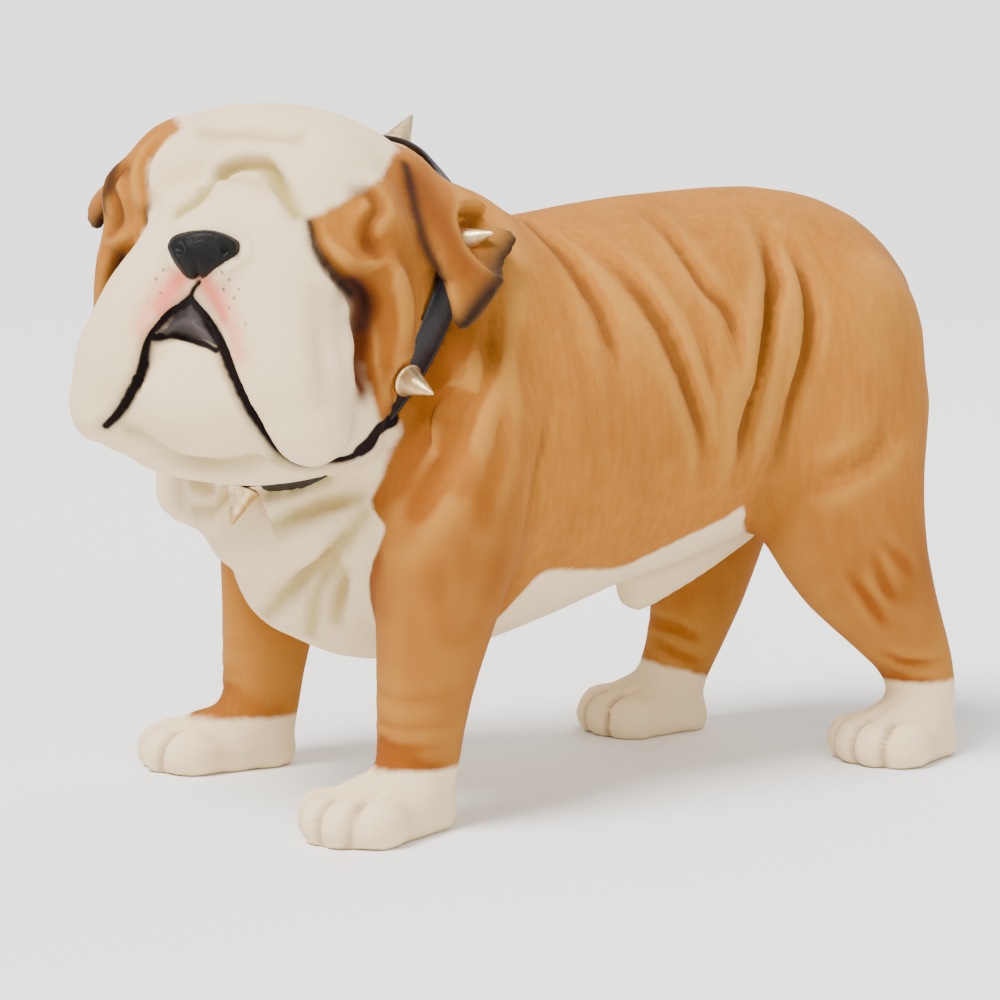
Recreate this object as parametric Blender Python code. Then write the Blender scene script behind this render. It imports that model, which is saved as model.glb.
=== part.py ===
"""Standing English bulldog statue with a studded collar, at life size.

The figure is one cast piece on four flat soles. The collar and its studs are pieces of their own.
Front is -Y, the dog's left is +X and up is +Z. The ground is z = 0.
"""

import math

import bmesh
import bpy
import numpy as np
from mathutils import Euler, Matrix, Vector
from mathutils.bvhtree import BVHTree

# Driving sizes, in metres

FIGURE_HEIGHT = 0.50  # ground to the top of the skull
SHARE = FIGURE_HEIGHT / 100  # the modelling below is in hundredths of the figure's height
CLEARANCE = 0.0003  # between pieces that touch

BAND_WIDTH = 0.028
BAND_THICKNESS = 0.0035
BAND_FLARE = 6  # degrees its outer face leans back from square to the neck
STUD_ANGLES = (0, 72, 118, 180, 242, 288)  # degrees round the neck from under the throat
STUD_BASE = 0.024
STUD_LENGTH = 0.029

TRUNK_VOXEL = 1.1 * SHARE
FIGURE_VOXEL = 0.75 * SHARE
FIGURE_TRIANGLES = 7600


# Modelling tools


def to_metres(frame=Matrix.Identity(4)):
    """Takes hundredths of the height, in a frame that is given the same way, to metres."""
    return Matrix.Scale(SHARE, 4) @ frame


def turned(x=0, y=0, z=0):
    """A turn by degrees about X, then Y, then Z."""
    return Euler([math.radians(a) for a in (x, y, z)]).to_matrix().to_4x4()


def ball(clay, centre, radii, turn=(0, 0, 0), frame=Matrix.Identity(4)):
    """Adds an ellipsoid, turned by degrees about X, Y and Z."""
    placed = to_metres(frame) @ Matrix.Translation(centre) @ turned(*turn) @ Matrix.Diagonal((*radii, 1))
    lump = bmesh.new()
    bmesh.ops.create_uvsphere(lump, u_segments=28, v_segments=18, radius=1, matrix=placed)
    mesh = bpy.data.meshes.new("ball")
    lump.to_mesh(mesh)
    lump.free()
    clay.from_mesh(mesh)
    bpy.data.meshes.remove(mesh)


def smooth_through(stations, steps=5):
    """Points on a Catmull-Rom curve through stations, which are tuples of numbers."""
    rows = [Vector(s) for s in stations]
    rows = [2 * rows[0] - rows[1], *rows, 2 * rows[-1] - rows[-2]]
    curve = []
    for a, b, c, d in zip(rows, rows[1:], rows[2:], rows[3:]):
        for k in range(steps):
            t = k / steps
            bend = (2 * a - 5 * b + 4 * c - d) * t**2
            twist = (3 * b - a - 3 * c + d) * t**3
            curve.append(0.5 * (2 * b + (c - a) * t + bend + twist))
    curve.append(rows[-2])
    return curve


def limb(clay, stations, frame=Matrix.Identity(4), side=(1, 0, 0), sides=24):
    """Adds a tube through stations of x, y, z, its radius along side and its radius across it."""
    curve = smooth_through(stations)
    whole = to_metres(frame)
    rings = []
    for i, row in enumerate(curve):
        ahead = curve[min(i + 1, len(curve) - 1)]
        behind = curve[max(i - 1, 0)]
        along = Vector((ahead - behind)[:3]).normalized()
        across = Vector(side) - along * Vector(side).dot(along)
        across.normalize()
        other = along.cross(across)
        ring = []
        for k in range(sides):
            a = 2 * math.pi * k / sides
            point = Vector(row[:3]) + across * row[3] * math.cos(a) + other * row[4] * math.sin(a)
            ring.append(clay.verts.new(whole @ point))
        rings.append(ring)
    for low, high in zip(rings, rings[1:]):
        for k in range(sides):
            clay.faces.new((low[k], low[(k + 1) % sides], high[(k + 1) % sides], high[k]))
    clay.faces.new(rings[0][::-1])
    clay.faces.new(rings[-1])
    for row in (curve[0], curve[-1]):
        ball(clay, row[:3], (row[3], min(row[3], row[4]), row[4]), frame=frame)


def mirrored(stations):
    """The same stations on the dog's other side."""
    return [(-s[0], *s[1:]) for s in stations]


def object_from(clay, name):
    mesh = bpy.data.meshes.new(name)
    clay.to_mesh(mesh)
    clay.free()
    obj = bpy.data.objects.new(name, mesh)
    bpy.context.scene.collection.objects.link(obj)
    return obj


def settled(obj):
    """Makes an object's modifiers part of its mesh."""
    bpy.context.view_layer.update()
    evaluated = obj.evaluated_get(bpy.context.evaluated_depsgraph_get())
    mesh = bpy.data.meshes.new_from_object(evaluated)
    obj.modifiers.clear()
    obj.data = mesh
    return obj


def fuse(obj, voxel, passes):
    """Makes overlapping shapes one skin, and softens where they meet."""
    remesh = obj.modifiers.new("one skin", "REMESH")
    remesh.mode = "VOXEL"
    remesh.voxel_size = voxel
    soften = obj.modifiers.new("soften", "SMOOTH")
    soften.factor = 0.5
    soften.iterations = passes
    return settled(obj)


def skin_of(obj):
    """The object's surface, to find the nearest point of."""
    return BVHTree.FromPolygons([v.co for v in obj.data.vertices], [p.vertices for p in obj.data.polygons])


def carve(obj, skin, points, width, depth, frame=Matrix.Identity(4)):
    """Presses a furrow along points that lie near the surface. A negative depth raises a roll."""
    whole = to_metres(frame)
    path = np.array([skin.find_nearest(whole @ p)[0] for p in smooth_through(points, steps=12)])
    count = len(obj.data.vertices)
    places = np.empty(count * 3)
    normals = np.empty(count * 3)
    obj.data.vertices.foreach_get("co", places)
    obj.data.vertices.foreach_get("normal", normals)
    places = places.reshape(-1, 3)
    normals = normals.reshape(-1, 3)
    reach = 2.4 * width * SHARE
    near = np.all((places > path.min(0) - reach) & (places < path.max(0) + reach), axis=1).nonzero()[0]
    gaps = np.linalg.norm(places[near, None] - path[None], axis=2)
    station = gaps.argmin(1)
    last = len(path) - 1
    fade = np.minimum(1, 4 * np.minimum(station, last - station) / last + 0.15)
    press = depth * SHARE * fade * np.exp(-((gaps.min(1) / (width * SHARE)) ** 2))
    places[near] -= normals[near] * press[:, None]
    obj.data.vertices.foreach_set("co", places.ravel())
    obj.data.update()


# Trunk, neck and legs


def trunk_stations():
    """Torso from chest to rump: y, top, bottom and half width."""
    outline = [
        (-56, 60, 34, 12),
        (-50, 71, 25.5, 19),
        (-42, 78, 19.5, 25),
        (-30, 82, 19.5, 28.5),
        (-18, 83, 22.5, 28.5),
        (-5, 84.6, 26.5, 27.5),
        (8, 86.4, 29.5, 26.5),
        (20, 87.3, 33, 24),
        (32, 87.5, 37, 22),
        (41.5, 85, 41, 20),
        (46.8, 78.5, 46, 17),
        (49.2, 70, 51, 11),
    ]
    return [(0, y, (top + low) / 2, half, (top - low) / 2) for y, top, low, half in outline]


NECK = [
    (0, -14, 58, 26, 22),
    (1, -28, 62.8, 25.5, 26.2),
    (3.2, -42.5, 69, 23.5, 27.4),
    (8, -54, 74, 20, 22),
]
FRONT_LEG = [
    (22, -34, 60, 9, 14),
    (25, -36, 46, 9, 12.5),
    (26, -38.5, 34, 8.4, 10.1),
    (26, -40, 25, 7.8, 8.1),
    (26, -41.3, 17, 6.8, 7.0),
    (26, -42, 9, 6.2, 6.3),
    (26, -42.5, 5, 6.0, 6.0),
]
LEFT_HIND_LEG = [
    (13, 37, 58, 11, 17),
    (16, 35.6, 44, 10, 15.4),
    (18, 38, 33, 8.6, 12.8),
    (18.5, 43.8, 23, 7.1, 8.8),
    (18.5, 49, 15, 6.1, 6.1),
    (18.5, 50.5, 9, 5.7, 5.5),
    (18.5, 50, 5, 5.6, 5.6),
]
RIGHT_HIND_LEG = [
    (-13, 37, 58, 11, 17),
    (-16, 34.6, 44, 10.5, 14.2),
    (-18, 34, 32, 8.8, 10.9),
    (-18.5, 32.8, 22, 7.3, 8.3),
    (-18.5, 30.4, 14, 6.4, 6.4),
    (-18.5, 27.7, 8, 5.9, 5.7),
    (-18.5, 27.5, 5, 5.6, 5.6),
]
DEWLAP = [
    (-15, -49, 50.5, 5.5, 5.5),
    (-9, -53.5, 48, 7, 7),
    (0, -55.5, 44, 7.5, 7.5),
    (9, -52.5, 41.5, 6.5, 6.5),
    (17, -47, 43, 5, 5),
]


def model_trunk():
    clay = bmesh.new()
    limb(clay, trunk_stations(), sides=36)
    limb(clay, NECK, sides=36)
    limb(clay, FRONT_LEG)
    limb(clay, [(x, y + 1, *rest) for x, y, *rest in mirrored(FRONT_LEG)])
    limb(clay, LEFT_HIND_LEG)
    limb(clay, RIGHT_HIND_LEG)
    ball(clay, (-11, -59.5, 50.5), (15, 12, 12), (-15, 0, 15))  # skin hanging under the throat
    ball(clay, (-2, -45.5, 35), (15, 10, 12))  # breast between the front legs
    for side in (1, -1):
        ball(clay, (side * 23.5, -36, 56), (9, 13, 19), (12, 0, 0))  # shoulder
        ball(clay, (side * 14.5, 37, 60), (10, 14.4, 19), (-10, 0, 0))  # haunch
    return fuse(object_from(clay, "trunk"), TRUNK_VOXEL, passes=22)


# Paws


PAWS = [
    (26, -43, 17, 1, 1.0),
    (-26, -42, 12, -1, 0.93),
    (18.5, 49.5, 12, 1, 0.72),
    (-18.5, 27.5, 8, -1, 0.72),
]  # heel x and y, degrees turned outward, side and length


def paw_frame(x, y, outward, side):
    return Matrix.Translation((x, y, 0)) @ turned(z=outward * side)


def model_paws(clay):
    for x, y, outward, side, length in PAWS:
        frame = paw_frame(x, y, outward, side)
        ball(clay, (0, -6.5 * length, 2.6), (7.6, 11.5 * length, 6.4), (8, 0, 0), frame)
        ball(clay, (0, 0.5, 2.0), (6.4, 6.0, 5.0), frame=frame)
        for k, (across, ahead) in enumerate([(-6.3, -12.2), (-2.3, -15.0), (2.3, -15.0), (6.3, -12.2)]):
            ball(clay, (across, ahead * length, 2.8), (2.9, 4.6, 4.3), (0, 0, 8 * (1.5 - k)), frame)


# Head, in its own frame: x to the dog's left, -y ahead, z up

HEAD = Matrix.Translation((2.65, -53.7, 80.45)) @ turned(z=40) @ turned(x=-15) @ turned(y=3)


def model_head(clay):
    def part(centre, radii, turn=(0, 0, 0)):
        ball(clay, centre, radii, turn, HEAD)

    def both(centre, radii, turn=(0, 0, 0)):
        part(centre, radii, turn)
        part((-centre[0], *centre[1:]), radii, (turn[0], -turn[1], -turn[2]))

    def roll(stations):
        limb(clay, stations, HEAD, sides=16)

    part((0, 3, 1), (22, 18, 19))  # skull
    part((0, 1, 8.5), (22.5, 15, 13))  # flat top of the skull
    both((9.5, -6, 6), (11, 11, 12))  # forehead
    both((11, 3, -13), (13, 12, 14))  # jaw muscles
    part((0, -11.5, 0), (12.5, 10, 8.5))  # top of the muzzle
    part((0.9, -20.5, -4.2), (6.9, 5.6, 5.1))  # nose
    part((0, -9.5, -23.5), (13.5, 10.8, 9))  # chin
    part((0, -11, -20), (9.5, 9.3, 6.5))  # lower lip
    part((0, -14, -7.5), (7, 8.2, 4.6))  # upper lip
    for side in (1, -1):
        flew = [
            (4.6, -13.6, -4, 7.8, 8),
            (7.6, -13.6, -9, 8.3, 8.8),
            (10.2, -12.8, -15, 8.8, 9.1),
            (12.2, -11.8, -20.5, 9, 8.8),
            (13.8, -11, -25, 7.6, 7.2),
        ]
        fuller = 2.5 if side > 0 else 0  # the head is turned, and its left cheek bunches up
        cheek = [
            (17 + fuller, -8, 3, 5, 5),
            (18.5 + fuller, -5, -4, 4.5, 5),
            (18.5 + fuller, -3, -13, 4.5, 5.5),
            (16.5 + fuller, -3, -21, 4, 4.5),
        ]
        roll([(side * s[0], *s[1:]) for s in flew])
        roll([(side * s[0], *s[1:]) for s in cheek])
    under_chin = [
        (-17, -1, -25, 5, 5),
        (-9, -6, -28.8, 5, 5),
        (0, -8, -29.8, 5, 5),
        (9, -6, -28.8, 5, 5),
        (17, -1, -25, 5, 5),
    ]
    limb(clay, under_chin, HEAD, side=(0, 0, 1), sides=16)
    both((16, -7.5, 5), (7, 6.5, 6.5))  # brow


LEFT_EAR = [(18.3, -1, 15.4), (20, 6, 14), (31.8, -2, -9.2), (35.4, 10, 8)]
RIGHT_EAR = [(-16.4, 0, 17.2), (-19, 7, 15), (-27.4, 0, 0), (-30.5, 10, 9)]


def ear(clay, corners, side):
    """A folded ear: a thick curved flap from its root line out to its low and its rear tip."""
    root_front, root_back, low_tip, rear_tip = (Vector(c) for c in corners)
    steps = 8
    sheet = bmesh.new()
    rows = []
    for i in range(steps + 1):
        out = i / steps
        front = root_front.lerp(low_tip, out) + Vector((0, -2.5, 0.5)) * math.sin(math.pi * out)
        back = root_back.lerp(rear_tip, out)
        row = []
        for j in range(steps + 1):
            t = j / steps
            point = front.lerp(back, t) + Vector((side * 2.2, 0, 0)) * math.sin(math.pi * t) * out
            row.append(sheet.verts.new(HEAD @ point))
        rows.append(row)
    for a, b in zip(rows, rows[1:]):
        for j in range(steps):
            corners = (a[j], a[j + 1], b[j + 1], b[j])
            sheet.faces.new(corners if side > 0 else corners[::-1])
    sheet.transform(to_metres())
    flap = object_from(sheet, "ear")
    thick = flap.modifiers.new("thickness", "SOLIDIFY")
    thick.thickness = 2.4 * SHARE
    thick.offset = 0
    clay.from_mesh(settled(flap).data)
    bpy.data.objects.remove(flap)
    inner = Vector((side * 13, 6, 11))
    root = [
        (*inner, 5, 4),
        (*inner.lerp(root_back, 0.5), 4, 3.2),
        (*root_front.lerp(root_back, 0.5), 2.5, 2),
    ]
    limb(clay, root, HEAD, side=(0, 1, 0), sides=16)


# Small forms


def model_small_forms(clay):
    sheath = [(0, 28, 36, 4.5, 4.2), (0, 19, 30.5, 3.8, 3.8), (0, 10, 26, 3.4, 3.4)]
    limb(clay, sheath, sides=16)
    tail = [(0, 50.5, 68, 4, 4), (1, 54.5, 64, 3.2, 3.0), (5, 55.5, 57, 2.6, 2.4), (8, 54, 52, 1.8, 1.8)]
    limb(clay, tail, sides=16)


# Collar, in its own frame: the strap runs round local Y, local -Z is under the throat

COLLAR = Matrix.Translation((1.7, -44.6, 70.8)) @ turned(z=17) @ turned(x=-33)
COLLAR_HALF_WIDTH = 23.3
COLLAR_HALF_HEIGHT = 28.3


def strap_seat(degrees):
    """A point on the strap's outer face, its outward way and the way across the strap, in metres."""
    a = math.radians(degrees)
    seat = Vector((COLLAR_HALF_WIDTH * math.sin(a), 0, -COLLAR_HALF_HEIGHT * math.cos(a))) * SHARE
    out = Vector((math.sin(a) / COLLAR_HALF_WIDTH, 0, -math.cos(a) / COLLAR_HALF_HEIGHT)).normalized()
    lean = math.radians(BAND_FLARE)
    back = Vector((0, 1, 0))
    return seat, out * math.cos(lean) + back * math.sin(lean), back * math.cos(lean) - out * math.sin(lean)


def strap_mesh(name, inside, outside, width, sides=48):
    """A band of rectangular section. Inside and outside are measured from its outer face."""
    clay = bmesh.new()
    rings = []
    for k in range(sides):
        seat, out, across = strap_seat(360 * k / sides)
        corners = ((inside, -0.5), (outside, -0.5), (outside, 0.5), (inside, 0.5))
        rings.append([clay.verts.new(seat + out * o + across * a * width) for o, a in corners])
    for k in range(sides):
        here, there = rings[k], rings[(k + 1) % sides]
        for j in range(4):
            clay.faces.new((here[j], there[j], there[(j + 1) % 4], here[(j + 1) % 4]))
    bmesh.ops.recalc_face_normals(clay, faces=clay.faces)
    clay.transform(Matrix.Translation(COLLAR.translation * SHARE) @ COLLAR.to_3x3().to_4x4())
    return object_from(clay, name)


def press_neck(obj):
    """Brings the neck to the strap's inner face, and lets it swell out again on both sides."""
    to_world = to_metres(COLLAR)
    to_collar = to_world.inverted()
    thickness = BAND_THICKNESS / SHARE
    half = 0.5 * BAND_WIDTH / SHARE
    slope = math.tan(math.radians(BAND_FLARE))
    for vertex in obj.data.vertices:
        local = to_collar @ vertex.co
        share_out = math.hypot(local.x / COLLAR_HALF_WIDTH, local.z / COLLAR_HALF_HEIGHT)
        past = max(0, abs(local.y) - half - 0.8)
        if past > 6 or not 0.7 < share_out < 1.8:
            continue
        target = 1 - (thickness + slope * local.y) / COLLAR_HALF_WIDTH
        off = share_out - target
        pull = 0.5 + 0.5 * math.cos(math.pi * past / 6)
        if off > 0:
            pull = pull ** (1 + 4 * off)
        else:
            pull *= max(0, 1 - (off / 0.22) ** 2)
        scale = 1 + pull * (target / share_out - 1)
        vertex.co = to_world @ Vector((local.x * scale, local.y, local.z * scale))


def stud_mesh(name, degrees, grow=0):
    """A pointed cone on a short rim, standing out from the strap, or grown on all sides as a cutter."""
    seat, out, across = strap_seat(degrees)
    profile = [(0.5, 0), (0.49, 0.06), (0.3, 0.5), (0.08, 0.94)]
    clay = bmesh.new()
    sides = 16
    other = out.cross(across)
    rings = []
    for radius, height in profile:
        ring = []
        for i in range(sides):
            b = 2 * math.pi * i / sides
            spoke = across * math.cos(b) + other * math.sin(b)
            lift = CLEARANCE + height * STUD_LENGTH - grow
            ring.append(clay.verts.new(seat + out * lift + spoke * (radius * STUD_BASE + grow)))
        rings.append(ring)
    for low, high in zip(rings, rings[1:]):
        for i in range(sides):
            clay.faces.new((low[i], low[(i + 1) % sides], high[(i + 1) % sides], high[i]))
    clay.faces.new(rings[0][::-1])
    tip = clay.verts.new(seat + out * (CLEARANCE + STUD_LENGTH + grow))
    for i in range(sides):
        clay.faces.new((rings[-1][i], rings[-1][(i + 1) % sides], tip))
    bmesh.ops.recalc_face_normals(clay, faces=clay.faces)
    clay.transform(Matrix.Translation(COLLAR.translation * SHARE) @ COLLAR.to_3x3().to_4x4())
    return object_from(clay, name)


# Folds and carving: width, depth and points near the surface. A negative depth raises a roll

BODY_FOLDS = [
    (1.6, 1.1, [(16, -11.7, 78), (22.6, -9.7, 71.5), (26.6, -9, 62.6)]),
    (1.7, 1.4, [(16, -5.4, 79), (23.2, -1.1, 71), (26.3, 2, 62.8), (26.6, 5, 55.4), (24.4, 7.4, 46.3)]),
    (1.4, 0.9, [(12.7, 6.4, 82.5), (20.5, 8.6, 75), (22.9, 11.7, 70.5), (24.6, 12.2, 65.5)]),
    (1.2, 0.7, [(22, 5.7, 73.3), (25.2, 6.8, 65.8), (26.3, 7.7, 59)]),
    (1.6, 1.7, [(14, 23.2, 81.5), (20, 21.8, 74.2), (24, 17.7, 64.3), (25, 14.7, 54.6), (22.8, 13.5, 46)]),
    (1.4, 1.1, [(15, 26.6, 80.3), (20.3, 27.4, 72.3), (22.2, 26.6, 66.3), (23, 23, 56), (21.6, 20.4, 47)]),
    (2.2, -1.2, [(19, 18.5, 76), (23.5, 14.5, 65), (25, 11.3, 55)]),
    (1.6, -0.8, [(17.5, 25, 77.5), (21.5, 24.3, 70), (23.8, 20.8, 60)]),
    (2.0, 0.5, [(23.9, 42, 53.8), (25.4, 33.7, 46.9), (22.6, 25.2, 44.5)]),
    (1.8, 1.4, [(22, -26.8, 75.2), (29.7, -32.4, 64.8), (31.9, -41.6, 51.6), (29.8, -46.8, 41.9)]),
    (2.2, -1.1, [(25, -30.5, 75), (30, -37.5, 64), (31, -44, 53)]),
]
CHEST_FOLDS = [
    (1.8, 1.6, [(-8, -62, 38), (2, -62.3, 40.3), (8.4, -55.8, 40.6), (15.7, -50.4, 44.1), (20, -48, 46.5)]),
    (1.6, 1.2, [(-3, -50, 28), (8.3, -50.8, 34.1), (16.9, -49.5, 40.2), (21.5, -47.9, 44.4)]),
    (1.4, 0.9, [(10.6, -46.9, 27.8), (13.8, -47.9, 32.5), (16.1, -48.4, 36.2)]),
]
CHEEK_FOLDS = [
    (1.5, 1.8, [(13.8, -17.9, 1), (16.7, -17, -3.4), (19.7, -14, -6.6), (20.7, -11.7, -11.7), (22, -8, -16)]),
    (2.8, 1.8, [(19.3, -14.3, -5.6), (20.2, -12.3, -8.5), (20.6, -11, -11.5)]),
    (1.8, -1.3, [(19, -13.5, -1.2), (23, -9, -3.6), (25, -6.4, -7), (25.3, -4.6, -12), (24.6, -3, -17)]),
    (1.3, 1.0, [(15.6, -16.3, 1.8), (19.3, -13.4, 0.6), (22.7, -10, -0.8)]),
    (1.6, 0.4, [(16.8, -17.2, -13), (19.1, -16.6, -22.5)]),
    (0.9, 1.5, [(2.2, -24.5, -3.6), (3.2, -24, -4.4)]),
]
LEFT_LIP = [
    (-0.6, -20.5, -10.9),
    (1.9, -20.3, -13.4),
    (4.8, -19, -17.1),
    (7.6, -18.5, -22.4),
    (11, -16.6, -27.3),
    (13.5, -13.5, -30.4),
    (17.2, -9.5, -30.4),
    (21, -4, -26),
]
FACE_FOLDS = [
    (1.6, 1.8, [(-11, -15, 2), (-6, -16, 6), (0, -16, 8.6), (6, -16, 8), (11, -15.5, 3)]),
    (1.1, 1.6, LEFT_LIP),
    (1.1, 1.6, mirrored(LEFT_LIP)),
    (1.9, 1.7, [(-4.2, -19, -15), (-0.4, -20, -13.2), (3.4, -19, -15.2)]),
    (1.3, 1.0, [(-10, -15, -28.5), (-4.3, -12.6, -31.7), (4.3, -12.6, -31.7), (10, -11, -30.4)]),
    (0.8, 0.9, [(0.3, -24, -8.2), (-0.3, -21, -10.8)]),
]


def carve_folds(obj):
    skin = skin_of(obj)
    for width, depth, points in BODY_FOLDS:
        carve(obj, skin, points, width, depth)
        carve(obj, skin, [(-x, y + 1.5, z - 1) for x, y, z in points], width, 0.8 * depth)
    for width, depth, points in CHEST_FOLDS:
        carve(obj, skin, points, width, depth)
    for width, depth, points in CHEEK_FOLDS:
        carve(obj, skin, points, width, depth, HEAD)
        carve(obj, skin, mirrored(points), width, max(depth, -0.3), HEAD)
    for width, depth, points in FACE_FOLDS:
        carve(obj, skin, points, width, depth, HEAD)
    for x, y, outward, side, length in PAWS:
        frame = paw_frame(x, y, outward, side)
        for across in (-4.3, 0, 4.3):
            ahead = -17 if across == 0 else -15.5
            front = (across, ahead * length, 1)
            knuckle = (across, (ahead + 3) * length, 6)
            carve(obj, skin, [front, knuckle, (0.8 * across, -9 * length, 8)], 0.8, 0.9, frame)


# Flat soles, the strap's bed and the final skin


def cut_soles(obj):
    clay = bmesh.new()
    clay.from_mesh(obj.data)
    whole = [*clay.verts, *clay.edges, *clay.faces]
    ground = {"plane_co": (0, 0, 0), "plane_no": (0, 0, -1)}
    cut = bmesh.ops.bisect_plane(clay, geom=whole, **ground, clear_outer=True)
    bmesh.ops.edgeloop_fill(clay, edges=[e for e in cut["geom_cut"] if isinstance(e, bmesh.types.BMEdge)])
    bmesh.ops.triangulate(clay, faces=[f for f in clay.faces if len(f.verts) > 4])
    clay.to_mesh(obj.data)
    clay.free()


def make_faceted(obj):
    reduce = obj.modifiers.new("facets", "DECIMATE")
    triangles = sum(len(p.vertices) - 2 for p in obj.data.polygons)
    reduce.ratio = FIGURE_TRIANGLES / triangles
    settled(obj)


def bed_collar(obj):
    """Leaves the clearance between the figure and the strap and studs, where they meet."""
    cutters = [strap_mesh("strap_bed", -BAND_THICKNESS - CLEARANCE, 0.002, BAND_WIDTH + 2 * CLEARANCE)]
    cutters += [stud_mesh("stud_bed", degrees, 2 * CLEARANCE) for degrees in STUD_ANGLES]
    for cutter in cutters:
        cutter.hide_render = True
        cutter.display_type = "WIRE"
        bed = obj.modifiers.new("bed", "BOOLEAN")
        bed.operation = "DIFFERENCE"
        bed.solver = "EXACT"
        bed.object = cutter
    settled(obj)
    for cutter in cutters:
        bpy.data.objects.remove(cutter)


def model_figure():
    trunk = model_trunk()
    press_neck(trunk)
    clay = bmesh.new()
    clay.from_mesh(trunk.data)
    bpy.data.objects.remove(trunk)
    limb(clay, DEWLAP, side=(0, 0, 1))
    trunk = fuse(object_from(clay, "trunk"), TRUNK_VOXEL, passes=12)
    clay = bmesh.new()
    clay.from_mesh(trunk.data)
    bpy.data.objects.remove(trunk)
    model_paws(clay)
    model_head(clay)
    ear(clay, LEFT_EAR, 1)
    ear(clay, RIGHT_EAR, -1)
    model_small_forms(clay)
    figure = fuse(object_from(clay, "bulldog"), FIGURE_VOXEL, passes=5)
    carve_folds(figure)
    fuse(figure, FIGURE_VOXEL, passes=2)
    make_faceted(figure)
    cut_soles(figure)
    bed_collar(figure)
    return figure


def place_on_origin(objects):
    """Brings the middle of the whole statue over the origin, with its soles on z = 0."""
    bpy.context.view_layer.update()
    corners = [obj.matrix_world @ v.co for obj in objects for v in obj.data.vertices]
    middle = [(min(c[i] for c in corners) + max(c[i] for c in corners)) / 2 for i in (0, 1)]
    for obj in objects:
        obj.data.transform(Matrix.Translation((-middle[0], -middle[1], 0)))


def finish(obj, colour, roughness, metallic, smooth=True):
    """Gives an object its material and its shading."""
    material = bpy.data.materials.new(obj.name)
    material.use_nodes = True
    shader = material.node_tree.nodes["Principled BSDF"]
    shader.inputs["Base Color"].default_value = (*colour, 1)
    shader.inputs["Roughness"].default_value = roughness
    shader.inputs["Metallic"].default_value = metallic
    obj.data.materials.clear()
    obj.data.materials.append(material)
    for face in obj.data.polygons:
        face.use_smooth = smooth


def main():
    for old in list(bpy.data.objects):
        bpy.data.objects.remove(old)
    figure = model_figure()
    strap = strap_mesh("collar_band", -BAND_THICKNESS, 0, BAND_WIDTH)
    studs = [stud_mesh(f"collar_stud_{k + 1}", degrees) for k, degrees in enumerate(STUD_ANGLES)]
    finish(figure, (0.58, 0.30, 0.11), 0.85, 0)
    finish(strap, (0.012, 0.012, 0.018), 0.55, 0, smooth=False)
    for stud in studs:
        finish(stud, (0.60, 0.40, 0.15), 0.35, 1)
    place_on_origin([figure, strap, *studs])


main()
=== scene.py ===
"""A life-size bulldog statue in painted, flocked resin with a studded collar, on a pale studio floor."""

import math

import bpy
import numpy as np
from mathutils import Euler, Matrix, Vector
from mathutils.bvhtree import BVHTree


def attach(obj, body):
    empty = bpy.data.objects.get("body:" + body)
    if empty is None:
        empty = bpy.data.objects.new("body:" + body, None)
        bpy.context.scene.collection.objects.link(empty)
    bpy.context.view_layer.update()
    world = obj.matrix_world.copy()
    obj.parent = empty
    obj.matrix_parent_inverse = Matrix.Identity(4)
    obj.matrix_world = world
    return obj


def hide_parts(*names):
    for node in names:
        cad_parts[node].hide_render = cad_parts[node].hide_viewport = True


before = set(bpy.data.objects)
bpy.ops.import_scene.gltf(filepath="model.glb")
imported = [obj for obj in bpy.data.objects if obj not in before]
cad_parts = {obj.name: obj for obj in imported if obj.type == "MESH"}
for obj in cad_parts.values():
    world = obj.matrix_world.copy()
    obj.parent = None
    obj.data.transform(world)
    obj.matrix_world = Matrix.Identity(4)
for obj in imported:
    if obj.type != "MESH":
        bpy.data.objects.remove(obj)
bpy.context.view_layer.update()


# The figure
#
# One hollow casting in polyester resin, standing on four flat soles. Every fold, the face and the
# toes are modelled in it, the skin is softened where the folds meet, and it carries all the paint.

FIGURE_HEIGHT = 0.50
SHARE = FIGURE_HEIGHT / 100  # the figure's places are in hundredths of its height
STRAP_SEAT = Vector((1.7, -44.6, 70.8))  # the middle of the collar, in shares
SKIN_GRAIN = 0.005
SKIN_SOFTENING = 5


def middle_of(node):
    corners = np.array([vertex.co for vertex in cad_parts[node].data.vertices])
    return Vector(np.unique(corners.round(5), axis=0).mean(0))


def turned(x=0, y=0, z=0):
    return Euler([math.radians(angle) for angle in (x, y, z)]).to_matrix().to_4x4()


# Places are given in three frames, all in shares: the whole body's, the tilted head's and the collar's
BODY = Matrix.Translation(middle_of("collar_band") - STRAP_SEAT * SHARE) @ Matrix.Scale(SHARE, 4)
HEAD = BODY @ Matrix.Translation((2.65, -53.7, 80.45)) @ turned(z=40) @ turned(x=-15) @ turned(y=3)
COLLAR = BODY @ Matrix.Translation(STRAP_SEAT) @ turned(z=17) @ turned(x=-33)


def only(piece):
    """Makes a piece the one thing that operators act on."""
    bpy.ops.object.select_all(action="DESELECT")
    piece.select_set(True)
    bpy.context.view_layer.objects.active = piece


def apply_all(piece):
    only(piece)
    for modifier in list(piece.modifiers):
        bpy.ops.object.modifier_apply(modifier=modifier.name)


def subdivide_where(piece, wanted):
    """Halves the grain of the faces whose middle passes the test."""
    only(piece)
    bpy.ops.object.mode_set(mode="EDIT")
    bpy.ops.mesh.select_all(action="DESELECT")
    bpy.ops.mesh.select_mode(type="FACE")
    bpy.ops.object.mode_set(mode="OBJECT")
    for face in piece.data.polygons:
        face.select = wanted(face.center)
    bpy.ops.object.mode_set(mode="EDIT")
    bpy.ops.mesh.subdivide(number_cuts=1, smoothness=0)
    bpy.ops.object.mode_set(mode="OBJECT")


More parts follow.
